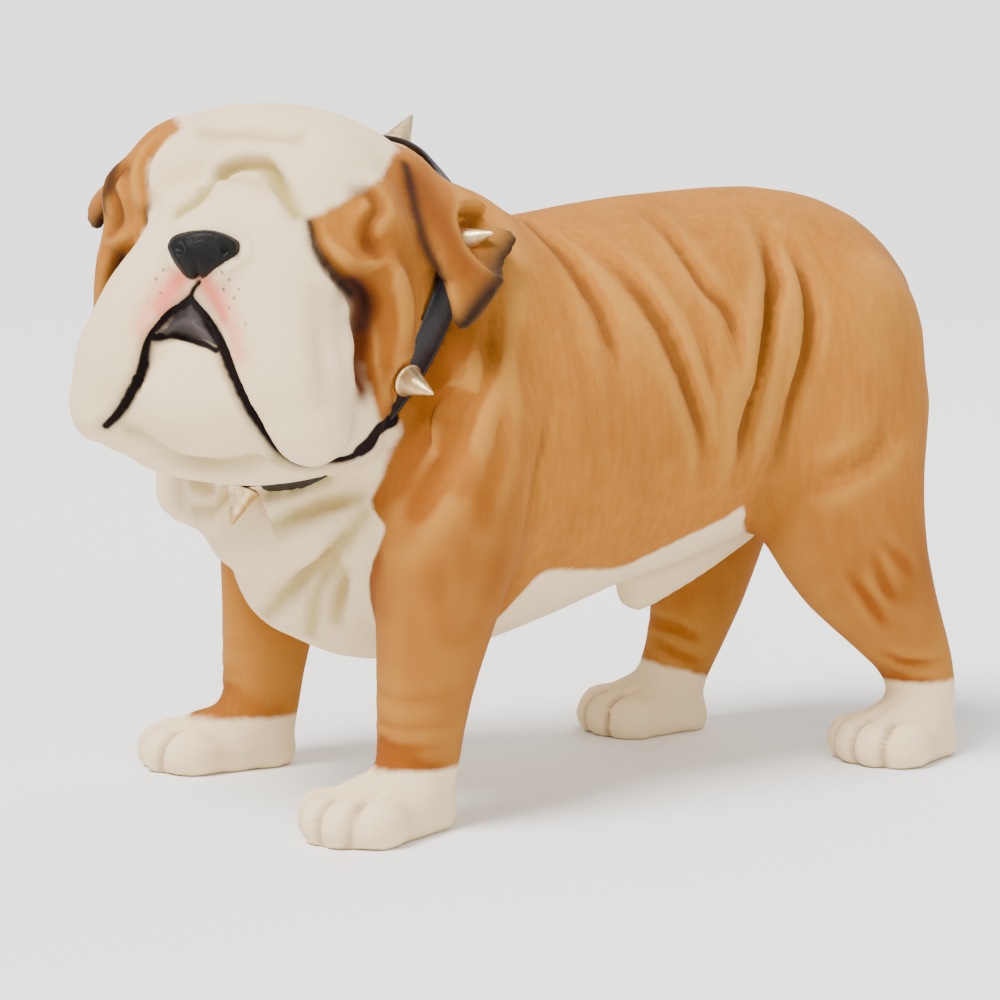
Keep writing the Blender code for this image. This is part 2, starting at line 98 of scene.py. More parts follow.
# Each paw's heel, how far its toes turn out, its side and its length next to the near front paw's
PAWS = [
    (26, -43, 17, 1, 1.0),
    (-26, -42, 12, -1, 0.93),
    (18.5, 49.5, 12, 1, 0.72),
    (-18.5, 27.5, 8, -1, 0.72),
]


def on_the_head(place):
    return (HEAD.inverted() @ place).y < 2 and place.z > 0.24


def on_the_nose(place):
    return (HEAD.inverted() @ place - Vector((1, -22, -6))).length < 9


def on_a_paw(place):
    low = BODY.inverted() @ place
    toes = [Vector((x, y - 8 * length)) for x, y, _, _, length in PAWS]
    return low.z < 9 and any((low.xy - toe).length < 11 for toe in toes)


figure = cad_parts["bulldog"].copy()
figure.data = figure.data.copy()
figure.name = "flocked_figure"
for key in list(figure.keys()):
    del figure[key]  # the copy is a new piece, without the solid's own marks
figure.parent = None
bpy.context.scene.collection.objects.link(figure)
only(figure)
bpy.ops.object.mode_set(mode="EDIT")
bpy.ops.mesh.select_all(action="SELECT")
bpy.ops.mesh.remove_doubles(threshold=0.00002)
bpy.ops.object.mode_set(mode="OBJECT")
skin = figure.modifiers.new("one skin", "REMESH")
skin.mode = "VOXEL"
skin.voxel_size = SKIN_GRAIN
soften = figure.modifiers.new("soften", "SMOOTH")
soften.factor = 0.5
soften.iterations = SKIN_SOFTENING
apply_all(figure)
for part in (on_the_head, on_the_nose, on_a_paw):
    subdivide_where(figure, part)


def read_vectors(piece, name):
    values = np.empty(len(piece.data.vertices) * 3)
    piece.data.vertices.foreach_get(name, values)
    return values.reshape(-1, 3)


def write_places(piece, places):
    piece.data.vertices.foreach_set("co", places.ravel())
    piece.data.update()


def in_frame(places, place):
    """Points taken into a frame, in its own shares."""
    back = np.array(place.inverted())
    return places @ back[:3, :3].T + back[:3, 3]


def skin_of(piece):
    corners = [vertex.co for vertex in piece.data.vertices]
    return BVHTree.FromPolygons(corners, [face.vertices for face in piece.data.polygons])


def smooth_line(points, steps=14):
    """A smooth line through points."""
    rows = [Vector(point) for point in points]
    rows = [2 * rows[0] - rows[1], *rows, 2 * rows[-1] - rows[-2]]
    line = []
    for a, b, c, d in zip(rows, rows[1:], rows[2:], rows[3:]):
        for k in range(steps):
            t = k / steps
            bend = (2 * a - 5 * b + 4 * c - d) * t**2
            twist = (3 * b - a - 3 * c + d) * t**3
            line.append(0.5 * (2 * b + (c - a) * t + bend + twist))
    return [*line, rows[-2]]


def line_on(skin, points, place):
    """A smooth line through points, laid on the skin, or left in the air where there is none."""
    route = [place @ point for point in smooth_line(points)]
    return np.array([skin.find_nearest(point)[0] if skin else point for point in route])


def beside(places, line, reach):
    """The points within reach of a line, their distance from it and how far along it they lie."""
    inside = np.all((places > line.min(0) - reach) & (places < line.max(0) + reach), axis=1)
    inside = inside.nonzero()[0]
    gaps = np.linalg.norm(places[inside, None] - line[None], axis=2)
    return inside, gaps.min(1), gaps.argmin(1) / (len(line) - 1)


def mirrored(points, inward=0):
    return [(inward - x, y, z) for x, y, z in points]


def carve(piece, strokes, shoulders=0.3):
    """Presses furrows into the skin, with a soft shoulder on each side.

    A stroke is its frame, half width, depth and points. A negative depth raises a roll.
    """
    skin = skin_of(piece)
    places = read_vectors(piece, "co")
    normals = read_vectors(piece, "normal")
    for place, width, depth, points in strokes:
        width, depth = width * SHARE, depth * SHARE
        line = line_on(skin, points, place)
        inside, gap, along = beside(places, line, 4 * width)
        fade = np.sin(np.pi * np.clip(along, 0.02, 0.98)) ** 0.6
        press = np.exp(-((gap / width) ** 2))
        press -= shoulders * np.exp(-(((gap - 2.1 * width) / width) ** 2))
        places[inside] -= normals[inside] * (depth * fade * press)[:, None]
    write_places(piece, places)


# The skin before it is carved, on which every painted line is measured
smooth_skin = skin_of(figure)
smooth_places = read_vectors(figure, "co")


# Folds of loose skin
#
# A bulldog's skin hangs in folds across the flank, the shoulder and the breast. They are modelled
# in the figure before it is cast: a broad furrow, softly rounded, then finer wrinkles between.

FLANK_FOLDS = [
    (1.3, 0.7, [(12, -12.4, 80.6), (16, -11.7, 78), (22.6, -9.7, 71.5), (26.6, -9, 62.6)]),
    (1.3, 0.9, [(12, -8, 82), (23.2, -1.1, 71), (26.3, 2, 62.8), (26.6, 5, 55.4), (24.4, 7.4, 46.3)]),
    (1.0, 0.7, [(8, 6, 84), (12.7, 6.4, 82.5), (20.5, 8.6, 75), (22.9, 11.7, 70.5), (24.6, 12.2, 65.5)]),
    (0.9, 0.5, [(22, 5.7, 73.3), (25.2, 6.8, 65.8), (26.3, 7.7, 59), (26, 9, 50)]),
    (1.3, 1.2, [(10, 24, 84), (20, 21.8, 74.2), (24, 17.7, 64.3), (25, 14.7, 54.6), (22.8, 13.5, 46)]),
    (1.2, 0.9, [(15, 26.6, 80.3), (20.3, 27.4, 72.3), (22.2, 26.6, 66.3), (23, 23, 56), (21.6, 20.4, 47)]),
    (0.8, 0.35, [(18, -3, 78), (24.5, 0.4, 69), (26.5, 3.6, 60), (26, 7, 50)]),
    (0.8, 0.35, [(17, 1, 79), (24, 4.5, 69), (26, 6.5, 58)]),
    (0.9, 0.4, [(16, -16, 78), (25, -15.4, 66), (27.5, -14, 54)]),
    (0.8, 0.35, [(21, 12, 73), (25, 12.5, 62), (24.8, 12.6, 50)]),
    (0.8, 0.35, [(20, 24.5, 73), (23, 21.5, 62), (22.6, 18.5, 48)]),
]
SHOULDER_FOLDS = [
    (1.3, 0.9, [(21.6, -26.6, 75.2), (28.1, -31.8, 64.6), (30, -36.4, 58), (29.8, -43.9, 45.9)]),
    (1.1, 0.7, [(23.9, -32.3, 69.9), (27.8, -35.8, 63.4), (27.8, -39.3, 58), (26.4, -43, 52.4)]),
    (1.4, 0.5, [(26.4, -28.9, 67.2), (30.7, -30.5, 60.6), (32.3, -32.2, 53.8), (33.9, -36.3, 44.4)]),
    (1.2, 0.7, [(2.9, -12.4, 83.4), (10.8, -13.3, 81.3), (15.8, -11.5, 78.3)]),
    (1.0, 0.5, [(25.7, -21, 60), (29.6, -24.6, 50), (29, -27, 41)]),
]
THIGH_FOLDS = [
    (0.8, 0.3, [(25.4, 35.5, 34), (25.9, 38, 28.2), (25.7, 40, 25.8)]),
    (0.8, 0.3, [(25.3, 32, 30.1), (25.1, 36.1, 25.2), (24.6, 39.1, 21.4)]),
    (0.8, 0.25, [(26.3, 36.6, 35.2), (25.9, 40.6, 31.8), (25.4, 43.2, 29.3)]),
    (1.6, 0.5, [(23.6, 42.2, 53.8), (24.6, 37.6, 49.3), (24.9, 34, 46.9), (24.1, 28.9, 45.2),
                (22.8, 25, 44.5)]),
    (0.7, 0.35, [(22.3, 40, 16.8), (23, 42.9, 15.6), (24.2, 46.7, 15.1), (23.8, 50.8, 15.3)]),
]
LEG_RINGS = [
    (0.7, 0.18, [(21, -47.5, 13), (26, -47.7, 12.7), (29.4, -46.7, 12.4), (32, -40.9, 12.7)]),
    (0.7, 0.15, [(20, -47, 16), (25.3, -47.7, 15.8), (29.5, -46.7, 15.2), (32.1, -39.8, 15.9)]),
    (0.8, 0.12, [(20, -47, 20), (24.7, -47.6, 19.9), (29.6, -46.8, 19.2), (32.8, -39.6, 20.2)]),
]
BREAST_FOLDS = [
    (1.2, 1.3, [(-8, -62, 42), (2, -62.3, 43.3), (8.4, -55.8, 42.6), (15.7, -50.4, 45.1), (20, -48, 46.5)]),
    (1.2, 1.3, [(-3, -50, 28), (8.3, -50.8, 34.1), (16.9, -49.5, 40.2), (21.5, -47.9, 44.4)]),
    (1.0, 1.0, [(10.6, -46.9, 27.8), (13.8, -47.9, 32.5), (16.1, -48.4, 36.2)]),
    (0.9, 0.9, [(-10, -58, 48), (-2, -60, 47), (8, -56, 47), (16, -51, 49)]),
    (0.9, 0.8, [(4, -47, 26), (10, -48.5, 33), (15, -48.5, 38)]),
]


def both_sides(folds, back=1.5):
    """The photographed side's folds, and a quieter set on the other side."""
    far = []
    for width, depth, points in folds:
        far.append((width, 0.8 * depth, [(-x, y + back, z - 1) for x, y, z in points]))
    return [(BODY, *fold) for fold in [*folds, *far]]


carve(figure, both_sides(FLANK_FOLDS + SHOULDER_FOLDS + THIGH_FOLDS))
carve(figure, both_sides(LEG_RINGS, back=1))
HOCK_RINGS = [
    (0.8, 0.6, [(-21.8, 26, 17.2), (-15.1, 25.9, 16.6), (-12.6, 29.6, 14.7)]),
    (0.8, 0.5, [(-17.7, 24.4, 14.4), (-13.6, 26.5, 12.5), (-12.8, 29.7, 11.2)]),
]
carve(figure, [(BODY, *fold) for fold in BREAST_FOLDS + HOCK_RINGS])


# The face
#
# A bulldog's flat face, modelled finer than the rest: hanging flews that part under the nose, a
# deep stop between the brows, small sunken eyes and a roll of skin down each cheek.

STOP = [(-4.4, -20, 0.9), (-2.1, -19, 2.5), (-1.4, -16, 4.8), (-1.6, -14.2, 8), (0.5, -14.1, 9.6),
        (3.2, -14.4, 9.9), (5.3, -14.7, 9.1), (7.1, -15.4, 7.4), (9.5, -17.1, 5), (11.8, -18, 2.7)]
LEFT_LIP = [(-1.4, -19.6, -10.7), (0.6, -18.2, -12.9), (3.4, -18.3, -16.1), (6.9, -18.1, -21.6),
            (10, -16.3, -26.7), (12.6, -14.2, -30), (15.6, -10, -31.2), (18.4, -4, -29.2),
            (21.4, -2.5, -25.9)]
RIGHT_LIP = [(-1.4, -19.6, -10.7), (-3.1, -19, -11.9), (-4.7, -19.4, -13.8), (-6.3, -20, -17.1),
             (-7.7, -18.5, -21.2), (-10.8, -16.4, -26.3), (-13, -16, -29.1)]
CHIN_TOP = [(-6.1, -19.9, -16.8), (-5, -18.4, -16), (-2.9, -17.9, -15.5), (0.6, -18.7, -16.2),
            (3, -18.7, -17.2)]
MUZZLE_EDGE = [(13.6, -17.2, 1.9), (15.1, -16.4, -1.8), (17.3, -14.3, -4.8), (18.9, -11.1, -6.9),
               (19.8, -10.1, -11.5), (21, -8.2, -16.7), (22, -4, -22.3)]
EYE = [(19.2, -12.2, -5.4), (20, -10.9, -6.8), (20.5, -10.2, -8.6), (20.4, -9.8, -10.7)]
LID_RIDGE = [(16.6, -15.8, -1.1), (20.2, -13, -3.1), (23.4, -10.1, -1)]
PAD_CREASE = [(17.8, -13, 7.2), (19.4, -11.8, 7.4), (20.9, -11.6, 5.4), (20.4, -12.6, 3.2), (20.1, -12, 0.9),
              (21.6, -11.2, -1.1)]
CHEEK_ROLL = [(23.4, -10.2, -1), (24.9, -9.3, -3.9), (25.4, -7.7, -7.7), (25, -6.6, -11.8), (24.1, -5.7, -16)]
CHEEK_RECESS = [(20.7, -10.4, -7.2), (20.4, -9.8, -10.7), (20.3, -9.2, -13.4), (20.4, -9.2, -16.2),
                (20.9, -7.6, -19.4)]
RIGHT_LOBE_EDGE = [(-11, -15.1, 12.1), (-12.8, -15.6, 10.2), (-13.1, -16.1, 6.7), (-12, -16.1, 3.9),
                   (-9.4, -17.2, 1.5)]
BROW_CREASE = [(-3.6, -11.6, 15.1), (0.3, -11.9, 14.9), (4, -11.7, 14.9), (9, -14.1, 13.7),
               (13.1, -14.3, 12.6)]
JAW_CREASE = [(-9.8, -15, -29.1), (-4.8, -11.6, -31.6), (0.8, -11.8, -32.1), (5.8, -11, -31.9),
              (12.6, -13.2, -30.8)]
FACE_FOLDS = [
    (0.9, 1.5, STOP),
    (1.2, 0.7, BROW_CREASE),
    (0.9, 1.2, RIGHT_LOBE_EDGE),
    (0.9, 0.9, PAD_CREASE),
    (0.9, 0.9, mirrored(PAD_CREASE, 2)),
    (1.1, -1.0, LID_RIDGE),
    (1.0, -0.7, mirrored(LID_RIDGE, 2)),
    (0.9, 1.3, MUZZLE_EDGE),
    (0.9, 1.1, mirrored(MUZZLE_EDGE, 1)),
    (1.4, 2.0, EYE),
    (1.3, 1.4, mirrored(EYE, 2)),
    (1.5, -1.4, CHEEK_ROLL),
    (1.1, -0.3, mirrored(CHEEK_ROLL, 2)),
    (1.2, 1.9, CHEEK_RECESS),
    (0.9, 0.5, mirrored(CHEEK_RECESS, 2)),
    (0.8, 1.5, LEFT_LIP),
    (0.8, 1.5, RIGHT_LIP),
    (0.8, 1.5, CHIN_TOP),
    (1.0, 0.8, JAW_CREASE),
    (1.4, 0.25, [(17, -17.7, -13), (18.3, -17.3, -17.7), (18.9, -16.4, -22.4)]),
]
carve(figure, [(HEAD, *fold) for fold in FACE_FOLDS])

# The nose stands clear of the muzzle, with a nostril each side and a groove down to the lip

NOSE_OUTLINE = [(-4.3, -23.7, -4.3), (-3.9, -23.8, -2.7), (-1.1, -25, -1.8), (2, -24.6, -1.2),
                (4.4, -23.8, -1.4), (6.3, -23, -2.3), (6.7, -23.1, -3.9), (5.8, -23.9, -5.3),
                (4.1, -24.3, -6.8), (1.9, -23.3, -8.3), (-0.9, -22.3, -8.5), (-2.3, -24.1, -7),
                (-4.3, -23.7, -4.3)]
NOSTRILS = [
    [(-2.3, -24.9, -4.2), (-1.5, -25.4, -4.8), (-2, -25, -5.6)],
    [(4.4, -24.7, -3.6), (5.3, -24.7, -4.3), (4.6, -24.7, -5.2)],
]
PHILTRUM = [(1.2, -25.4, -5.8), (1.0, -23.6, -7.6), (0.3, -22, -8.8), (-0.6, -20.9, -9.6),
            (-1.4, -19.8, -10.6)]
carve(figure, [(HEAD, 0.55, 0.6, NOSE_OUTLINE)], shoulders=0.2)
carve(figure, [(HEAD, 0.55, 0.8, nostril) for nostril in NOSTRILS], shoulders=0.15)
carve(figure, [(HEAD, 0.4, 0.7, PHILTRUM)], shoulders=0.1)


# The paws
#
# Four toes each, parted by three deep grooves, with the two middle toes ahead. The soles are flat,
# so that the figure stands on all four.

TOE_PITCH = 4.3
GROOVE_HALF = 0.55
GROOVE_DEPTH = 0.75


def grooves_between_toes(heel_x, heel_y, outward, side, length):
    """Three strokes up the front of a paw and back over its top, in the paw's own frame."""
    paw = BODY @ Matrix.Translation((heel_x, heel_y, 0)) @ turned(z=outward * side)
    grooves = []
    for out in (-TOE_PITCH, 0, TOE_PITCH):
        front = (-18.3 if out == 0 else -16.8) * length
        points = [(out, front, 0.4), (out, front + 1, 3.5), (out, front + 3.5 * length, 6.3)]
        points.append((0.8 * out, -8.5 * length, 8))
        grooves.append((paw, GROOVE_HALF, GROOVE_DEPTH, points))
    return grooves


toe_grooves = [groove for paw in PAWS for groove in grooves_between_toes(*paw)]
carve(figure, toe_grooves, shoulders=0.25)
places = read_vectors(figure, "co")
places[:, 2] = np.maximum(places[:, 2], 0)
write_places(figure, places)


# The collar's bed
#
# The collar is fitted tight, so the skin gives under it: it keeps under the strap or over it, and
# stands back from each stud.

STRAP_WIDTH = 0.028
STRAP_THICKNESS = 0.0035
COLLAR_HALF_WIDTH = 23.3
COLLAR_HALF_HEIGHT = 28.3
BED_ROOM = 0.0006
STRAP_LEAN = 6
STUD_ANGLES = (0, 72, 118, 180, 242, 288)
STUD_BASE = 0.024
STUD_LENGTH = 0.029
NEST_HALF = 0.65 * STUD_BASE
NEST_SLOPE = 1.5
NEST_REACH = 1.6  # in stud lengths: skin farther out than this stays where it is


def strap_seat(degrees):
    """A point on the strap's outer face, its outward way and the way across it, in collar shares."""
    a = math.radians(degrees)
    seat = Vector((COLLAR_HALF_WIDTH * math.sin(a), 0, -COLLAR_HALF_HEIGHT * math.cos(a)))
    out = Vector((math.sin(a) / COLLAR_HALF_WIDTH, 0, -math.cos(a) / COLLAR_HALF_HEIGHT)).normalized()
    lean = math.radians(STRAP_LEAN)
    back = Vector((0, 1, 0))
    return seat, out * math.cos(lean) + back * math.sin(lean), back * math.cos(lean) - out * math.sin(lean)


def bed_strap(local):
    """Moves skin that meets the strap just under it or just over it."""
    out = np.hypot(local[:, 0] / COLLAR_HALF_WIDTH, local[:, 2] / COLLAR_HALF_HEIGHT)
    half_thickness = 0.5 * STRAP_THICKNESS / SHARE / COLLAR_HALF_WIDTH
    clear = half_thickness + BED_ROOM / SHARE / COLLAR_HALF_WIDTH
    heart = 1 - half_thickness
    within = np.abs(local[:, 1]) < (0.5 * STRAP_WIDTH + BED_ROOM) / SHARE
    clash = within & (np.abs(out - heart) < clear)
    new_out = heart + np.where(out - heart < 0.2 * half_thickness, -1, 1) * clear
    scale = np.where(clash, new_out / out, 1)
    local[:, 0] *= scale
    local[:, 2] *= scale


def nest_stud(local, degrees):
    """Sinks the skin round a stud toward the strap, in a dent with sloping sides."""
    seat, way, _ = [np.array(vector) for vector in strap_seat(degrees)]
    height = (local - seat) @ way
    aside = np.linalg.norm(local - seat - height[:, None] * way, axis=1)
    room_above = np.maximum(aside - NEST_HALF / SHARE, 0) * NEST_SLOPE
    hold = np.clip((NEST_REACH - height / (STUD_LENGTH / SHARE)) / (NEST_REACH - 1), 0, 1)
    local -= (np.where(height > room_above, height - room_above, 0) * hold)[:, None] * way


def bed_collar(piece):
    local = in_frame(read_vectors(piece, "co"), COLLAR)
    bed_strap(local)
    for degrees in STUD_ANGLES:
        nest_stud(local, degrees)
    forward = np.array(COLLAR)
    write_places(piece, local @ forward[:3, :3].T + forward[:3, 3])


bed_collar(figure)
only(figure)
bpy.ops.object.shade_smooth()


# The painter's lines on the figure
#
# The coat is sprayed and hand painted: white face, bib, belly and socks on tan, black lips, nose
# and ear edges. Each line is kept on the skin as a distance from it, for the paint to follow.


def keep(piece, name, values):
    attribute = piece.data.attributes.new(name, "FLOAT", "POINT")
    attribute.data.foreach_set("value", values.astype(np.float32))


head_places = in_frame(smooth_places, HEAD)
body_places = in_frame(smooth_places, BODY)
FAR = 0.05  # beyond this a line's distance isn't worked out


def painted_line(strokes):
    """How far each point lies inside the nearest stroke of paint: frame, half width and points."""
    inside_by = np.full(len(smooth_places), -FAR)
    for place, width, points in strokes:
        line = line_on(smooth_skin, points, place)
        near, gap, _ = beside(smooth_places, line, FAR)
        inside_by[near] = np.maximum(inside_by[near], width * SHARE - gap)
    return inside_by


def sprayed(strokes, skin=smooth_skin):
    """Soft paint, full on the line and gone at about twice its half width."""
    spray = np.zeros(len(smooth_places))
    for place, width, strength, points in strokes:
        line = line_on(skin, points, place)
        near, gap, _ = beside(smooth_places, line, 3 * width * SHARE)
        spray[near] = np.maximum(spray[near], strength * np.exp(-((gap / (width * SHARE)) ** 2)))
    return spray


def inside_outline(across, up, outline):
    """How far each point lies inside a closed outline, seen flat. Points outside come out negative."""
    points = np.column_stack((across, up))
    corners = np.array(smooth_line(outline))
    gap = np.full(len(points), np.inf)
    inside = np.zeros(len(points), bool)
    for a, b in zip(corners, np.roll(corners, -1, 0)):
        way = b - a
        along = np.clip((points - a) @ way / (way @ way + 1e-9), 0, 1)
        gap = np.minimum(gap, np.linalg.norm(points - a - along[:, None] * way, axis=1))
        crosses = (a[1] > up) != (b[1] > up)
        inside ^= crosses & (across < way[0] * (up - a[1]) / (way[1] + 1e-9) + a[0])
    return np.where(inside, gap, -gap) * SHARE


FACE_WHITE_EDGE = [
    (14, 14, 19), (17, 4, 18), (17.5, 0.1, 16.6), (18.6, -3.7, 14.2), (19.4, -8, 10.8), (19, -11.4, 8.6),
    (17, -14, 5.9), (14.7, -15.9, 3.5), *MUZZLE_EDGE, (22.3, -2, -23), (22, 1, -22), (20, 8, -22),
    (17, 12, -22),
]
BROW_WHITE_EDGE = [
    (-12, 14, 19), (-12.5, 4, 18.5), (-11.5, -6, 17), (-9.8, -13.5, 14.5), (-11, -15.1, 12.1),
    (-12.8, -15.6, 10.2), (-13.2, -16.1, 7.4), (-12.4, -16.2, 4.6), (-12, -16.3, 2.2),
]
RIGHT_JAW_EDGE = [(-20.5, 1, -26), (-17, 10, -28)]
# Height, and the white's half width there
BIB_HALF = [(20, 8), (22, 10), (24, 13), (30, 18), (34.8, 20.6), (40, 25), (43.3, 26), (46, 22.5),
            (50.8, 22.8), (58, 22), (62, 12), (68, 0)]
BIB_LOW = 20
BIB_BACK = -38
BIB_FAR_SIDE = 0.88  # the far side's white is a little wider
# Place along the body, and the white's top or half width there
BELLY_TOP = [(-40, 24), (-32, 24), (-24, 30), (-20, 34.2), (-12.6, 33.8), (-3.8, 33), (2.3, 34.9),
             (8, 37.1), (14, 39.2), (17.2, 40.6), (19.5, 37), (24, 35), (29, 36), (38, 38), (47, 44)]
BELLY_HALF = [(-40, 12), (-27, 14), (-18, 24), (16, 24), (19, 16), (24, 11), (30, 9), (47, 5)]
BELLY_LOW = 19
# Each sock's height, and its slope toward the heel
SOCKS = [(9.1, 0), (7.7, 0), (12, 0), (9.8, 0.3)]
DEGREE = 0.35  # on the face, in shares


def read_off(table, value):
    """Reads a smooth curve through a table's pairs."""
    rows = np.array(smooth_line(table))
    return np.interp(value, rows[:, 0], rows[:, 1])


def round_the_head(x, y):
    """How far round the head a point lies, in shares, so that its paint can be drawn flat."""
    return np.degrees(np.arctan2(x, 4 - y)) * DEGREE


def white_on_face():
    left = FACE_WHITE_EDGE
    right = [*BROW_WHITE_EDGE, *mirrored(MUZZLE_EDGE, 1), *RIGHT_JAW_EDGE]
    left, right = [[(round_the_head(x, y), z) for x, y, z in edge] for edge in (left, right)]
    end = 179 * DEGREE
    outline = [*left, (end, -60), (-end, -60), *right[::-1], (-end, 60), (end, 60)]
    return inside_outline(round_the_head(head_places[:, 0], head_places[:, 1]), head_places[:, 2], outline)


def white_on_body():
    x, y, z = body_places.T
    half = np.where(x > 0, x, -BIB_FAR_SIDE * x)
    bib = np.minimum.reduce([read_off(BIB_HALF, z) - half, z - BIB_LOW, BIB_BACK - y])
    front, back = BELLY_TOP[0][0], BELLY_TOP[-1][0]
    belly = [read_off(BELLY_TOP, y) - z, z - BELLY_LOW, read_off(BELLY_HALF, y) - abs(x), back - y, y - front]
    return np.maximum(bib, np.minimum.reduce(belly)) * SHARE


def white_inside():
    """Distance inside the white: positive on the face, bib, belly and socks."""
    x, y, z = body_places.T
    ahead_of_strap = in_frame(smooth_places, COLLAR)[:, 1] < 0.5 * STRAP_WIDTH / SHARE
    inside_by = np.where(ahead_of_strap & (z > 42), white_on_face(), white_on_body())
    for (heel_x, heel_y, _, _, length), (sock, slope) in zip(PAWS, SOCKS):
        near = np.hypot(x - heel_x, y - heel_y + 6 * length) < 18
        below = (sock - slope * (y - heel_y) - z) * SHARE
        inside_by = np.where(near, np.maximum(inside_by, below), inside_by)
    return inside_by


keep(figure, "white_inside", white_inside())

LIP_CORNER = [(20.2, -3.2, -27.4), (21.4, -2.6, -25.9), (22, -2.4, -24.1), (22, -0.6, -23),
              (21.9, 1.1, -21.9)]
lips = [
    (HEAD, 0.7, LEFT_LIP),
    (HEAD, 1.2, LIP_CORNER),
    (HEAD, 0.65, RIGHT_LIP),
    (HEAD, 0.5, CHIN_TOP),
    (HEAD, 0.35, PHILTRUM[2:]),
]
keep(figure, "black_inside", painted_line(lips))

# Whisker dots and the open mouth are painted flat from the front: place across the face, and height
WHISKERS = [(4.6, -7.1), (5.4, -7.9), (4.5, -9.2), (6.2, -10.2), (5.5, -11.6), (7.6, -12.3), (7.0, -14.3),
            (9.3, -15.3), (8.5, -17.2), (6.8, -9.0), (8.4, -13.6), (-4.8, -7.3), (-5.9, -8.6),
            (-5.1, -10.4), (-6.6, -11.8), (-5.8, -13.4), (-7.3, -14.6)]
WHISKER_HALF = 0.2
MOUTH_OUTLINE = [(-1.4, -10.6), (0.6, -12.9), (3.0, -16.2), (0.6, -15.8), (-2.9, -15.2), (-5, -15.7),
                 (-5.4, -16), (-3.4, -12.4), (-1.4, -10.6)]


def facing(values, ahead_of=-12):
    """Keeps flat paint on the front of the head."""
    return np.where(head_places[:, 1] < ahead_of, values, -FAR)


def whisker_dots():
    dots = np.full(len(smooth_places), -FAR)
    for number, (x, z) in enumerate(WHISKERS):
        size = WHISKER_HALF + 0.06 * math.sin(7 * number)
        dots = np.maximum(dots, (size - np.hypot(head_places[:, 0] - x, head_places[:, 2] - z)) * SHARE)
    return dots


nose_flat = [(x, z) for x, _, z in NOSE_OUTLINE]
keep(figure, "whisker_inside", facing(whisker_dots()))
keep(figure, "nose_inside", facing(inside_outline(head_places[:, 0], head_places[:, 2], nose_flat), -18))
keep(figure, "mouth_inside", facing(inside_outline(head_places[:, 0], head_places[:, 2], MOUTH_OUTLINE)))

# Sprayed: dark ear edges and lips, pink lips; painted shade, red-brown round the eyes and khaki in the
# white's folds

EAR_FRONT_EDGE = [(20.3, -2.3, 13.5), (22.5, -3.5, 9.1), (24.5, -4.4, 4.8), (26.4, -4, 0.9), (28.4, -3.8, -3)]
EAR_LOW_EDGE = [(30.5, -3, -8.8), (32.3, -2.2, -8.9), (34, -1.2, -5.6), (35.4, 1, -1.9), (36.2, 3.6, 1.4),
                (36.4, 6.4, 4.6), (36.3, 8.6, 6.9), (36, 10, 8.4)]
EAR_MIDDLE = [(22.6, -2.2, 11), (27, -2.2, 6), (31, -1.5, 0.2)]
RIGHT_EAR_FRONT = [(-16.6, 0, 16.8), (-20, -0.8, 12), (-24, -0.8, 5.5), (-27.4, 0, 0)]
RIGHT_EAR_LOW = [(-26, 0, 2), (-27.4, 0.3, 0.3), (-29, 5, 4.5), (-30.4, 9.6, 8.8)]
RIGHT_FOLD = [(-21.6, -10.8, 2.4), (-21.1, -11.3, 3.5), (-20.3, -11.9, 5.2), (-19.8, -11.6, 7.5),
              (-19.5, -11, 9.2)]
CHEEK_BACK = [(24, -34, 66), (27, -40, 56), (28, -44, 46), (30, -43, 38)]
ear_edges = [
    (HEAD, 2.5, 1, EAR_LOW_EDGE),
    (HEAD, 2, 1, RIGHT_EAR_LOW),
    (HEAD, 1.6, 0.9, RIGHT_EAR_FRONT),
]
# Dark paint on the ear edges, lips and eyes, and painted shade in the sunken eye sockets, along the muzzle's
# fold edge and in the fold above the right eye
dark_paint_and_shade = [
    (HEAD, 1.1, 0.9, EAR_FRONT_EDGE),
    (HEAD, 1.2, 0.8, RIGHT_FOLD),
    (HEAD, 0.8, 0.6, CHIN_TOP),
    (HEAD, 1.1, 0.5, LEFT_LIP),
    (HEAD, 1.1, 0.5, RIGHT_LIP),
    (HEAD, 1.2, 0.75, EYE),
    (HEAD, 1.3, 0.8, mirrored(EYE, 2)),
    (HEAD, 0.75, 0.95, MUZZLE_EDGE[:4]),
    (HEAD, 0.8, 0.7, mirrored(MUZZLE_EDGE[:5], 1)),
]
# Red-brown paint in the ears and toe grooves, and red-brown painted shade in the cheek recesses, round the
# sunken eyes, in the pad creases and in the hollow above the right eye
red_brown_and_shade = [
    (HEAD, 1.9, 1, CHEEK_RECESS),
    (HEAD, 1.6, 0.8, mirrored(CHEEK_RECESS, 2)),
    (HEAD, 3, 0.95, EYE),
    (HEAD, 2.4, 0.7, mirrored(EYE, 2)),
    (HEAD, 1.2, 0.6, PAD_CREASE),
    (HEAD, 1.2, 0.6, mirrored(PAD_CREASE, 2)),
    (HEAD, 2.4, 0.6, [(-20.4, -12.2, 4.8), (-20.3, -11.5, 7.9)]),
    (HEAD, 3, 0.45, EAR_MIDDLE),
    (HEAD, 3, 0.5, mirrored(EAR_MIDDLE, 2)),
    *[(paw, 0.6, 0.45, groove[:3]) for paw, _, _, groove in toe_grooves],
]
# Painted shade in khaki in the white's creases: the stop, the brow, the jaw, the muzzle and the breast folds
white_fold_shade = [
    (HEAD, 1.3, 0.9, STOP),
    (HEAD, 1.4, 0.5, [(-6, -13, 13.5), (0, -12.6, 14.6), (8, -13, 14)]),
    (HEAD, 1.3, 0.6, JAW_CREASE[::2]),
    (HEAD, 2.2, 0.35, [(-0.5, -15, 4), (3, -15.5, 5), (6, -16, 4)]),
    (HEAD, 1.5, 0.3, [(16.4, -18, -8), (17, -17.7, -13), (18.3, -17.3, -17.7), (18.9, -16.4, -22.4)]),
    *[(BODY, 1.2, 0.7, fold) for _, _, fold in BREAST_FOLDS],
]
